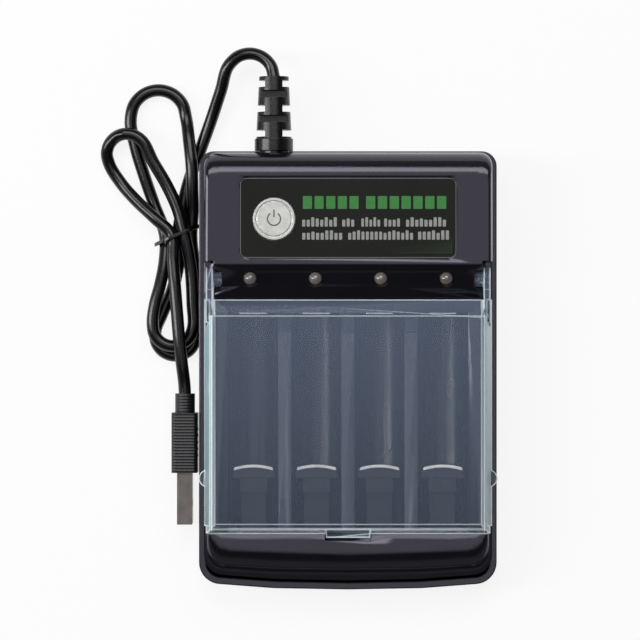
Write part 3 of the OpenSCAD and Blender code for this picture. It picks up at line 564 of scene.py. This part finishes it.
@dataclass
class Studio:
    """Camera, floor and light, in metres."""

    centre_x: float = -8.4 * MM
    centre_y: float = 15.2 * MM
    subject_z: float = 18.0 * MM
    distance: float = 1.25
    frame_width: float = 192.0 * MM
    sensor: float = 36.0
    glow: float = 0.86
    floor_half: float = 2.5
    floor_z: float = -0.0001
    sky: tuple[tuple[float, float], ...] = (
        (0.0, 0.24), (0.45, 0.24), (0.62, 0.07), (0.9, 0.05), (0.965, 0.9), (1.0, 1.0)
    )
    sky_blue: float = 1.02
    boxes: tuple[SoftBox, ...] = (
        SoftBox("softbox_back", (0.0, 0.72, 1.2), (1.3, 0.62), 11.0),
        SoftBox("softbox_left", (-1.1, 0.1, 0.9), (0.35, 1.1), 12.0),
    )

    def camera(self) -> bpy.types.Object:
        """Put the camera straight above, at the photograph's framing.

        Returns:
            The camera.
        """
        data = bpy.data.cameras.new("camera")
        data.sensor_width = self.sensor
        data.lens = self.sensor * self.distance / self.frame_width
        data.clip_start = 0.05
        data.clip_end = 20.0
        camera = bpy.data.objects.new("camera", data)
        camera.location = (self.centre_x, self.centre_y, self.subject_z + self.distance)
        bpy.context.scene.collection.objects.link(camera)
        bpy.context.scene.camera = camera
        return camera

    def floor(self) -> bpy.types.Object:
        """Lay the pale floor, which glows a little for the camera and for reflections.

        Returns:
            The floor.
        """
        mesh = bpy.data.meshes.new("floor")
        half, level = self.floor_half, self.floor_z
        corners = [(x * half, y * half, level) for x, y in ((-1, -1), (1, -1), (1, 1), (-1, 1))]
        mesh.from_pydata(corners, [], [(0, 1, 2, 3)])
        floor = bpy.data.objects.new("floor", mesh)
        bpy.context.scene.collection.objects.link(floor)
        shader = Shader("floor_pale")
        shader.set(Base_Color=(0.86, 0.86, 0.86), Roughness=0.85, Specular_IOR_Level=0.2)
        glow = shader.tree.nodes.new("ShaderNodeEmission")
        glow.inputs["Strength"].default_value = 1.0
        path = shader.tree.nodes.new("ShaderNodeLightPath")
        seen = shader.combine("MAXIMUM", path.outputs["Is Camera Ray"], path.outputs["Is Glossy Ray"])
        seen = shader.combine("MAXIMUM", seen, path.outputs["Is Transmission Ray"])
        mix = shader.tree.nodes.new("ShaderNodeMixShader")
        shader.join(shader.combine("MULTIPLY", seen, self.glow), mix.inputs["Fac"])
        shader.join(shader.surface.outputs["BSDF"], mix.inputs[1])
        shader.join(glow.outputs["Emission"], mix.inputs[2])
        shader.join(mix.outputs["Shader"], shader.output.inputs["Surface"])
        mesh.materials.append(shader.material)
        return floor

    def world(self) -> None:
        """Light the room: a pale patch overhead, a dim ring round it and pale walls."""
        world = bpy.data.worlds.new("room")
        bpy.context.scene.world = world
        world.use_nodes = True
        tree = world.node_tree
        tree.nodes.clear()
        output = tree.nodes.new("ShaderNodeOutputWorld")
        background = tree.nodes.new("ShaderNodeBackground")
        white = tree.nodes.new("ShaderNodeBackground")
        white.inputs["Strength"].default_value = 1.0
        mix = tree.nodes.new("ShaderNodeMixShader")
        path = tree.nodes.new("ShaderNodeLightPath")
        place = tree.nodes.new("ShaderNodeTexCoord")
        split = tree.nodes.new("ShaderNodeSeparateXYZ")
        ramp = tree.nodes.new("ShaderNodeValToRGB")
        elements = ramp.color_ramp.elements
        while len(elements) < len(self.sky):
            elements.new(0.5)
        for element, (height, level) in zip(elements, self.sky):
            element.position = height
            element.color = (level, level, level * self.sky_blue, 1.0)
        tree.links.new(place.outputs["Generated"], split.inputs["Vector"])
        tree.links.new(split.outputs["Z"], ramp.inputs["Fac"])
        tree.links.new(ramp.outputs["Color"], background.inputs["Color"])
        background.inputs["Strength"].default_value = 1.0
        tree.links.new(path.outputs["Is Camera Ray"], mix.inputs["Fac"])
        tree.links.new(background.outputs["Background"], mix.inputs[1])
        tree.links.new(white.outputs["Background"], mix.inputs[2])
        tree.links.new(mix.outputs["Shader"], output.inputs["Surface"])

    def build(self) -> None:
        """Set the camera, the floor and the light."""
        self.camera()
        self.floor()
        self.world()
        for box in self.boxes:
            box.hang()
        bpy.context.scene.view_settings.view_transform = "Standard"


def smooth_path(points: Sequence[Point], steps: int) -> list[Vector]:
    """Run a smooth curve through points.

    Args:
        points: The points, in metres.
        steps: Samples on each stretch.

    Returns:
        The sampled curve.
    """
    knots = [Vector(p) for p in points]
    last = len(knots) - 1

    def slope(i: int) -> Vector:
        """The curve's direction at a knot."""
        back = knots[i] - knots[max(i - 1, 0)]
        on = knots[min(i + 1, last)] - knots[i]
        if i == 0:
            return on.normalized()
        if i == last:
            return back.normalized()
        total = back.length + on.length
        return (on.normalized() * back.length + back.normalized() * on.length) / total

    result = []
    for i in range(last):
        span = (knots[i + 1] - knots[i]).length
        start, end = slope(i) * span, slope(i + 1) * span
        for step in range(steps):
            t = step / steps
            result.append(
                (2 * t**3 - 3 * t**2 + 1) * knots[i] + (t**3 - 2 * t**2 + t) * start
                + (3 * t**2 - 2 * t**3) * knots[i + 1] + (t**3 - t**2) * end
            )
    result.append(knots[-1])
    return result


def bend(
    x: float, y: float, radius: float, first: float, last: float, z_first: float, z_last: float, steps: int
) -> list[Point]:
    """Points along a level or rising arc, in millimetres.

    Args:
        x: Centre across.
        y: Centre along.
        radius: Radius.
        first: First angle in degrees.
        last: Last angle in degrees.
        z_first: Height at the first angle.
        z_last: Height at the last angle.
        steps: Stretches.

    Returns:
        The points.
    """
    result = []
    for i in range(steps + 1):
        share = i / steps
        angle = math.radians(first + (last - first) * share)
        rise = z_first + (z_last - z_first) * share
        result.append((x + radius * math.cos(angle), y + radius * math.sin(angle), rise))
    return result


def add_mesh(
    name: str, vertices: Sequence[Point], faces: Sequence[Sequence[int]],
    material: bpy.types.Material, smooth: float = 30.0,
) -> bpy.types.Object:
    """Make a mesh object.

    Args:
        name: Its name.
        vertices: Its corners in metres.
        faces: Its faces.
        material: Its finish.
        smooth: Edges sharper than this angle in degrees stay sharp.

    Returns:
        The object.
    """
    mesh = bpy.data.meshes.new(name)
    mesh.from_pydata([tuple(v) for v in vertices], [], [tuple(f) for f in faces])
    mesh.validate()
    mesh.materials.append(material)
    mesh.polygons.foreach_set("use_smooth", [True] * len(mesh.polygons))
    mesh.set_sharp_from_angle(angle=math.radians(smooth))
    piece = bpy.data.objects.new(name, mesh)
    bpy.context.scene.collection.objects.link(piece)
    return piece


def dress_copy(
    node: str, name: str, finishes: Sequence[bpy.types.Material], body: Body, slot: Slot | None,
    smooth: float = 32.0, bevel: float = 0.0, zone: Callable[[Vector, Vector], int] | None = None,
    shape: Callable[[bmesh.types.BMesh], None] | None = None,
) -> bpy.types.Object:
    """Stand a smooth-shaded copy of a solid in its place.

    Args:
        node: The solid.
        name: The copy's name.
        finishes: Its finishes.
        body: The body it rides on.
        slot: Its material slot; not used.
        smooth: Edges sharper than this angle in degrees stay sharp.
        bevel: Width of a bevel on its sharp edges in metres, or 0.
        zone: Gives the number of a face's finish from its middle and its normal.
        shape: Refines the copy's mesh.

    Returns:
        The copy.
    """
    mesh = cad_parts[node].data.copy()
    mesh.name = name
    work = bmesh.new()
    work.from_mesh(mesh)
    bmesh.ops.remove_doubles(work, verts=work.verts, dist=1e-6)
    if bevel > 0:
        bmesh.ops.dissolve_limit(
            work, angle_limit=math.radians(1.0), verts=work.verts, edges=work.edges
        )
        sharp = [
            e for e in work.edges
            if len(e.link_faces) == 2 and e.calc_face_angle(0.0) > math.radians(smooth)
        ]
        bmesh.ops.bevel(work, geom=sharp, offset=bevel, segments=2, profile=0.6, affect="EDGES",
                        clamp_overlap=True)
    if shape:
        shape(work)
    work.to_mesh(mesh)
    work.free()
    mesh.materials.clear()
    for finish in finishes:
        mesh.materials.append(finish)
    numbers = [zone(face.center / MM, face.normal) if zone else 0 for face in mesh.polygons]
    mesh.polygons.foreach_set("material_index", numbers)
    mesh.polygons.foreach_set("use_smooth", [True] * len(mesh.polygons))
    mesh.set_sharp_from_angle(angle=math.radians(smooth))
    piece = bpy.data.objects.new(name, mesh)
    bpy.context.scene.collection.objects.link(piece)
    weigh = piece.modifiers.new("weighted_normals", "WEIGHTED_NORMAL")
    weigh.mode = "FACE_AREA"
    weigh.keep_sharp = True
    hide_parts(node)
    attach(piece, body.value)
    return piece


def paint(node: str, material: bpy.types.Material) -> None:
    """Give a solid that stays as it is its finish."""
    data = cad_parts[node].data
    data.materials.clear()
    data.materials.append(material)


@dataclass
class Lead:
    """Cord, tie, strain relief and plug, in millimetres."""

    finish: Finishes
    diameter: float = 3.8
    tie_y: float = 41.0
    under_tie: float = 1.3
    layer: float = 3.6
    steps: int = 6
    tie_slant: float = 0.42
    tie_share: float = 0.62
    round_sides: int = 5

    @property
    def low_z(self) -> float:
        """Height of the cords' lower row in the tie."""
        return self.diameter / 2 + self.under_tie

    @property
    def high_z(self) -> float:
        """Height of the cords' upper row in the tie."""
        return self.low_z + self.layer

    def route(self) -> list[Point]:
        """The cord's knots in millimetres, as the solid has them.

        Returns:
            The knots.
        """
        low, high, tie = self.low_z, self.high_z, self.tie_y
        out_path = [
            *bend(-29.7, 88.3, 7.4, 0, 145, 11, 7.6, 5),
            (-38.4, 84.8, 5.6), (-41.4, 76, 3.2), (-44.7, 67, 2), (-47.9, 58.5, 1.9),
            (-50.1, 50, 2.1), (-51.45, tie, low), (-51.3, 33, 2.2), (-53.4, 24, 1.9),
            (-56.4, 17, 1.9), *bend(-52.3, 10.6, 6.2, 172, 350, 1.9, 1.9, 6),
        ]
        big_loop = [
            (-46.1, 17, 1.9), (-46.3, 29, 2.1), (-47.45, tie, low), (-47, 48, 4.1),
            (-47.1, 55, 5.5), (-47.3, 62, 5.9), (-48.1, 69.5, 4.6),
            *bend(-57.5, 76.6, 8.4, 0, 180, 2.3, 1.9, 6),
            (-64.5, 68, 1.9), (-61.8, 59, 1.9), (-58.7, 50, 1.9), (-55.45, tie, low),
            (-55.5, 33, 4.8), (-56.8, 26, 5.6), (-58.5, 19.5, 5.7),
            *bend(-53, 13.4, 6.1, 175, 350, 5.7, 5.7, 6),
        ]
        small_loop = [
            (-47, 20, 5.7), (-47.6, 31, 5.9), (-49.45, tie, high), (-51.4, 48.5, 6.5),
            (-54.8, 56, 6), (-58.9, 63, 5.9), *bend(-67, 65.5, 6.1, 50, 98, 6, 5.8, 2),
            *bend(-67, 65.5, 6.1, 125, 205, 4.7, 2.3, 3), (-69, 57, 2.2), (-64, 51.3, 3.9),
            (-58.6, 46.2, 6), (-53.45, tie, high), (-52.9, 33, 7.8), (-52.2, 25, 8.9),
            (-51.5, 16.5, 9.4), (-50.8, 8, 9.6), (-50, 1, 9.1), (-49.4, -4.2, 8.1),
            (-49.2, -7.9, 7.85),
        ]
        return out_path + big_loop + small_loop

    def cord(self) -> bpy.types.Object:
        """Returns:
            The cord.
        """
        path = smooth_path([tuple(v * MM for v in p) for p in self.route()], self.steps)
        curve = bpy.data.curves.new("lead_cord", "CURVE")
        curve.dimensions = "3D"
        curve.bevel_depth = self.diameter / 2 * MM
        curve.bevel_resolution = self.round_sides
        curve.use_fill_caps = True
        line = curve.splines.new("POLY")
        line.points.add(len(path) - 1)
        for point, place in zip(line.points, path):
            point.co = (*place, 1.0)
        line.use_smooth = True
        curve.materials.append(self.finish.cord.material())
        cord = bpy.data.objects.new("lead_cord", curve)
        bpy.context.scene.collection.objects.link(cord)
        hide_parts("cord")
        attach(cord, Body.CASING.value)
        length = sum((b - a).length for a, b in zip(path, path[1:]))
        tuple(path[0])
        LOG.info("lead_cord: %.0f mm", length / MM)
        return cord

    def slant_tie(self, work: bmesh.types.BMesh) -> None:
        """Narrow the tie and set it on a slant, as the hank pulls it.

        Args:
            work: The tie's mesh in metres.
        """
        low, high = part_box("cord_tie")
        middle_x, middle_y = (low[0] + high[0]) / 2, (low[1] + high[1]) / 2
        for vertex in work.verts:
            along = (vertex.co.y - middle_y) * self.tie_share
            vertex.co.y = middle_y + along + (vertex.co.x - middle_x) * self.tie_slant

    def fittings(self) -> None:
        """Dress the strain relief, the tie and the plug."""
        finish = self.finish
        relief = finish.relief.material()
        grip = finish.grip.material()
        dress_copy(
            "strain_relief", "lead_strain_relief", [relief], Body.CASING, Slot.CORD,
            smooth=40.0, bevel=0.3 * MM,
        )
        dress_copy(
            "cord_tie", "lead_tie", [finish.cord.material()], Body.CASING, Slot.TIE,
            smooth=40.0, bevel=0.15 * MM, shape=self.slant_tie,
        )
        dress_copy("plug_body", "lead_plug_grip", [grip], Body.CASING, Slot.PLUG, bevel=0.2 * MM)
        paint("plug_shell", finish.plug_steel.material())
        paint("plug_tongue", finish.part.material())
        paint("plug_contacts", finish.gold.material())
        LOG.info("lead fittings: strain relief, tie, plug")


@dataclass
class Casing:
    """Shells, label, screws, feet and the parts inside, in millimetres."""

    finish: Finishes
    tray_x: float = 39.4
    tray_front_y: float = -49.0
    tray_back_y: float = 19.0
    tray_top_z: float = 23.5
    rib_low_z: float = 15.0
    level: float = 0.985
    end_round: float = 7.0
    end_drop: float = 5.0
    end_low_z: float = 14.0
    end_cuts: int = 8
    end_share: float = 0.98

    def round_end(self, work: bmesh.types.BMesh) -> None:
        """Round the control end over from the label's edge to the end wall.

        Args:
            work: The front shell's mesh in metres.
        """
        _, (_, end, top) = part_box("front_shell")
        start = end - self.end_round * MM
        floor = self.end_low_z * MM
        for i in range(self.end_cuts):
            cut = start + self.end_round * MM * math.sin(math.pi / 2 * i / self.end_cuts)
            bmesh.ops.bisect_plane(
                work, geom=work.verts[:] + work.edges[:] + work.faces[:], dist=1e-7,
                plane_co=(0, cut, 0), plane_no=(0, 1, 0),
            )
        for vertex in work.verts:
            if vertex.co.y <= start or vertex.co.z <= floor:
                continue
            share = min((vertex.co.y - start) / (end - start), 1.0)
            drop = self.end_drop * MM * (1 - math.sqrt(1 - (self.end_share * share) ** 2))
            vertex.co.z -= drop * (vertex.co.z - floor) / (top - floor)

    def zone(self, middle: Vector, normal: Vector) -> int:
        """The finish of one face of the front shell.

        Args:
            middle: The face's middle in millimetres.
            normal: Its normal.

        Returns:
            0 for the outside, 1 for the bays and 2 for the upward flats between them, whose lighter finish
            is painted light from overhead.
        """
        inside = abs(middle.x) < self.tray_x and self.tray_front_y < middle.y < self.tray_back_y
        if not inside or middle.z > self.tray_top_z:
            return 0
        # Faces that look up take the lighter finish, as painted light.
        return 2 if normal.z > self.level and middle.z > self.rib_low_z else 1

    def dress(self) -> None:
        """Dress every fixed piece of the casing."""
        finish = self.finish
        shell = finish.shell.material()
        front = [shell, finish.tray.material(), finish.lit_rib_top.material()]
        dress_copy("rear_shell", "casing_rear_shell", [shell], Body.CASING, Slot.SHELL)
        dress_copy(
            "front_shell", "casing_front_shell", front, Body.CASING, Slot.SHELL, zone=self.zone,
            shape=self.round_end,
        )
        paint("label_panel", finish.label.material())
        steel = finish.steel.material()
        for node in ("casing_screws", "board_screws"):
            paint(node, steel)
        paint("rubber_feet", finish.foot.material())
        paint("circuit_board", finish.board.material())
        dark = finish.part.material()
        for node in ("tact_switch", "controller_chip"):
            paint(node, dark)
        paint("power_inductor", finish.ferrite.material())
        paint("capacitors", finish.can.material())
        lamp = finish.lamp.material()
        for k in range(1, 5):
            dress_copy(f"led_{k}", f"lamp_dome_{k}", [lamp], Body.CASING, Slot.LAMP, smooth=40.0)
        LOG.info("casing: shells, label, screws, feet, board and lamps")


@dataclass
class Label:
    """The printed fields on the label panel, in millimetres from its middle."""

    finish: Finishes
    ink: float = 0.03
    heading: tuple[float, float] = (2.7, 6.5)
    upper_row: tuple[float, float] = (-2.6, 0.2)
    lower_row: tuple[float, float] = (-6.5, -3.7)
    dot_columns: int = 25
    dot_rows: int = 8
    dot_pitch: float = 0.74
    dot_radius: float = 0.2
    dot_least: float = 0.25
    dot_full: float = 1.15
    dot_fade: tuple[float, float] = (0.8, 0.95)
    dot_margin: tuple[float, float] = (1.6, 1.7)
    # Width, inset and corner of the painted highlight line round the panel's rim.
    outline: float = 0.22
    rim_highlight_inset: float = 0.1
    rim_highlight_corner: float = 1.9
    corner_steps: int = 6
    bar_clip: float = 0.18
    letter: tuple[float, float] = (2.55, 0.75)
    small_letter: tuple[float, float] = (0.9, 0.42)
    ragged: float = 0.75
    heading_words: tuple[tuple[float, float], ...] = ((-13.5, 3.1), (5.3, 29.2))
    upper_words: tuple[tuple[float, float], ...] = (
        (-13.7, -3.4), (-1.8, 1.8), (3.9, 9.5), (10.7, 15.4), (17.2, 29.1)
    )
    lower_words: tuple[tuple[float, float], ...] = ((-13.7, -1.8), (0.0, 19.3), (20.8, 30.0))

    def __post_init__(self) -> None:
        """Find the panel's middle and its top."""
        low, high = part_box("label_panel")
        self.middle_y = (low[1] + high[1]) / 2 / MM
        self.panel_top = high[2] / MM
        self.half = ((high[0] - low[0]) / 2 / MM, (high[1] - low[1]) / 2 / MM)

    def bars(
        self, name: str, boxes: Sequence[tuple[float, float, float, float]], material: bpy.types.Material
    ) -> None:
        """Print rectangles with clipped corners.

        Args:
            name: The piece's name.
            boxes: Left, right, low and high of each, in millimetres.
            material: Its ink.
        """
        vertices: list[Point] = []
        faces: list[list[int]] = []
        for left, right, low, high in boxes:
            clip = min(self.bar_clip, (right - left) / 3, (high - low) / 3)
            rim = [
                (left + clip, low), (right - clip, low), (right, low + clip), (right, high - clip),
                (right - clip, high), (left + clip, high), (left, high - clip), (left, low + clip),
            ]
            first = len(vertices)
            count = len(rim)
            for z in (self.panel_top, self.panel_top + self.ink):
                vertices += [(x * MM, y * MM, z * MM) for x, y in rim]
            faces.append([first + count + i for i in range(count)])
            faces.append([first + i for i in reversed(range(count))])
            for i in range(count):
                n = (i + 1) % count
                faces.append([first + i, first + n, first + count + n, first + count + i])
        piece = add_mesh(name, vertices, faces, material)
        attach(piece, Body.CASING.value)
        LOG.info("%s: %d bars", name, len(boxes))

    def row(
        self, words: Sequence[tuple[float, float]], ends: tuple[float, float],
        letter: tuple[float, float], seed: int, ragged: float,
    ) -> list[tuple[float, float, float, float]]:
        """Break words of a row into plain blocks.

        Args:
            words: Left and right end of each word, in millimetres.
            ends: The row's foot and head, from the panel's middle.
            letter: Width of a block and the space after it.
            seed: For the blocks' heights.
            ragged: Most by which a block falls short of the head.

        Returns:
            The blocks' boxes.
        """
        low, high = (self.middle_y + end for end in ends)
        block, gap = letter
        dice = random.Random(seed)
        boxes = []
        for left, right in words:
            count = max(1, round((right - left + gap) / (block + gap)))
            pitch = (right - left + gap) / count
            for i in range(count):
                start = left + i * pitch
                short = ragged * dice.choice((0, 1, 1, 0.5))
                boxes.append((start, start + pitch - gap, low, high - short))
        return boxes

    def dots(self) -> None:
        """Print the field of dots that fades up and to the left."""
        vertices: list[Point] = []
        faces: list[list[int]] = []
        z = (self.panel_top + self.ink) * MM
        right = self.half[0] - self.dot_margin[0]
        foot = self.middle_y - self.half[1] + self.dot_margin[1]
        for i in range(self.dot_columns):
            for j in range(self.dot_rows):
                back = (self.dot_columns - 1 - i) / self.dot_columns
                fade = back * self.dot_fade[0] + (j / self.dot_rows) * self.dot_fade[1]
                share = max(0.0, self.dot_full - fade)
                radius = self.dot_radius * min(share, 1.0)
                if radius < self.dot_radius * self.dot_least:
                    continue
                x = right - (self.dot_columns - 1 - i) * self.dot_pitch
                y = foot + j * self.dot_pitch
                first = len(vertices)
                for a in range(6):
                    turn = a * math.pi / 3
                    rim = (x + radius * math.cos(turn), y + radius * math.sin(turn))
                    vertices.append((rim[0] * MM, rim[1] * MM, z))
                faces.append(list(range(first, first + 6)))
        piece = add_mesh("label_dot_field", vertices, faces, self.finish.dot_ink.material())
        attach(piece, Body.CASING.value)
        LOG.info("label_dot_field: %d dots", len(faces))

    def paint_rim_highlight(self) -> None:
        """Paint a thin pale line round the panel's rim, a painted highlight where the recess's edge
        catches the light.
        """
        vertices: list[Point] = []
        faces: list[list[int]] = []
        half_x, half_y = (side - self.rim_highlight_inset for side in self.half)
        corner, steps = self.rim_highlight_corner, self.corner_steps
        rim: list[tuple[float, float, float]] = []
        for quarter, (sx, sy) in enumerate(((1, 1), (-1, 1), (-1, -1), (1, -1))):
            for i in range(steps + 1):
                turn = math.radians(90 * quarter + 90 * i / steps)
                rim.append((sx * (half_x - corner), sy * (half_y - corner), turn))
        for x, y, turn in rim:
            for radius in (corner, corner - self.outline):
                px = (x + radius * math.cos(turn)) * MM
                py = (self.middle_y + y + radius * math.sin(turn)) * MM
                vertices.append((px, py, (self.panel_top + self.ink / 2) * MM))
        count = len(rim)
        for i in range(count):
            n = (i + 1) % count
            faces.append([2 * i, 2 * n, 2 * n + 1, 2 * i + 1])
        piece = add_mesh("label_rim_painted_highlight", vertices, faces, self.finish.mark_and_highlight_ink.material())
        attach(piece, Body.CASING.value)
        LOG.info("label_rim_painted_highlight: %d stretches", count)

    def build(self) -> None:
        """Paint the highlight line round the rim, then print the heading, the two rows under it and the
        dots.
        """
        self.paint_rim_highlight()
        heading = self.row(self.heading_words, self.heading, self.letter, seed=3, ragged=0.0)
        self.bars("label_heading_bars", heading, self.finish.green_ink.material())
        upper = self.row(self.upper_words, self.upper_row, self.small_letter, 5, self.ragged)
        lower = self.row(self.lower_words, self.lower_row, self.small_letter, 8, self.ragged)
        self.bars("label_row_bars", upper + lower, self.finish.white_ink.material())
        self.dots()


@dataclass
class PowerButton:
    """The silver button with its symbol, in millimetres."""

    finish: Finishes
    ring: float = 2.15
    stroke: float = 0.42
    rise: float = 0.03
    sink: float = 0.01
    gap: float = 70.0
    stroke_ends: tuple[float, float] = (0.5, 2.75)
    ring_steps: int = 36

    def __post_init__(self) -> None:
        """Find the cap's middle and its top."""
        low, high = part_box("power_button")
        self.centre = ((low[0] + high[0]) / 2 / MM, (low[1] + high[1]) / 2 / MM)
        self.top = high[2] / MM

    def symbol(self) -> bpy.types.Object:
        """The open ring and stroke that mean power, as thin raised print.

        Returns:
            The symbol.
        """
        x0, y0 = self.centre
        radius, width, steps = self.ring, self.stroke, self.ring_steps
        vertices: list[Point] = []
        faces: list[list[int]] = []

        def band(outline: Sequence[tuple[float, float, float, float]]) -> None:
            """Add a band from its inner and outer edge points."""
            first = len(vertices)
            for ax, ay, bx, by in outline:
                for z in (self.top - self.sink, self.top + self.rise):
                    vertices.append(((x0 + ax) * MM, (y0 + ay) * MM, z * MM))
                    vertices.append(((x0 + bx) * MM, (y0 + by) * MM, z * MM))
            for i in range(len(outline) - 1):
                a = first + 4 * i
                faces.extend([
                    [a + 2, a + 3, a + 7, a + 6], [a, a + 4, a + 5, a + 1],
                    [a, a + 2, a + 6, a + 4], [a + 1, a + 5, a + 7, a + 3],
                ])
            end = first + 4 * (len(outline) - 1)
            faces.extend([[first, first + 1, first + 3, first + 2], [end, end + 2, end + 3, end + 1]])

        ring = []
        for i in range(steps + 1):
            angle = math.radians(90 + self.gap / 2 + (360 - self.gap) * i / steps)
            c, s = math.cos(angle), math.sin(angle)
            ring.append(((radius - width) * c, (radius - width) * s, radius * c, radius * s))
        band(ring)
        band([(-width / 2, end, width / 2, end) for end in self.stroke_ends])
        piece = add_mesh("button_symbol", vertices, faces, self.finish.mark_and_highlight_ink.material())
        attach(piece, Body.BUTTON.value)
        return piece

    def build(self) -> None:
        """Dress the button."""
        dress_copy(
            "power_button", "button_cap", [self.finish.button.material()], Body.BUTTON, Slot.BUTTON,
            bevel=0.18 * MM,
        )
        self.symbol()
        LOG.info("power button: cap and symbol")


@dataclass
class Bays:
    """Contacts, carriages and springs, in millimetres."""

    finish: Finishes
    count: int = 4
    travel: float = 10.5

    def spring(self, k: int, steel: bpy.types.Material) -> bpy.types.Object:
        """Dress one bay's spring, which shortens as its carriage slides.

        Args:
            k: The bay's number.
            steel: The wire's finish.

        Returns:
            The spring.
        """
        node = f"slider_spring_{k}"
        piece = dress_copy(node, f"bay_spring_{k}", [steel], Body.CASING, Slot.SPRING, smooth=60.0)
        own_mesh(piece)
        return piece

    def dress(self) -> None:
        """Dress the four bays' moving and fixed metal."""
        nickel = self.finish.nickel.material()
        carriage = self.finish.carriage.material()
        steel = self.finish.steel.material()
        for k in range(1, self.count + 1):
            paint(f"positive_contact_{k}", nickel)
            paint(f"negative_contact_{k}", nickel)
            paint(f"contact_slider_{k}", carriage)
            self.spring(k, steel)
        LOG.info("bays: contacts, carriages and springs")


@dataclass
class Lid:
    """The clear lid, whose sides carry painted light: paler and more opaque than its top."""

    finish: Finishes
    upright: float = 0.62
    arm_y: float = 22.0
    crease: float = 14.0

    def zone(self, middle: Vector, normal: Vector) -> int:
        """The finish of one face.

        Args:
            middle: The face's middle in millimetres.
            normal: Its normal.

        Returns:
            0 for the top, 1 for the outside of a side, whose teal tint is lightened with painted light,
            and 2 for its inside, which is painted light.
        """
        if abs(normal.x) < self.upright or middle.y > self.arm_y:
            return 0
        return 1 if normal.x * middle.x > 0 else 2

    def dress(self) -> None:
        """Dress the lid."""
        finish = self.finish
        skins = [finish.lid.material(), finish.lid_side_tint_and_light.material(), finish.lid_inner_painted_light.material()]
        dress_copy("lid", "lid_clear", skins, Body.LID, Slot.LID, smooth=self.crease, zone=self.zone)
        LOG.info("lid: clear moulding")


def main() -> None:
    """Build the scene in order."""
    logging.basicConfig(level=logging.INFO, format="%(name)s: %(message)s")
    finish = Finishes()
    Studio().build()
    lead = Lead(finish)
    lead.fittings()
    lead.cord()
    Casing(finish).dress()
    Label(finish).build()
    PowerButton(finish).build()
    Bays(finish).dress()
    Lid(finish).dress()


if __name__ == "__main__":
    main()
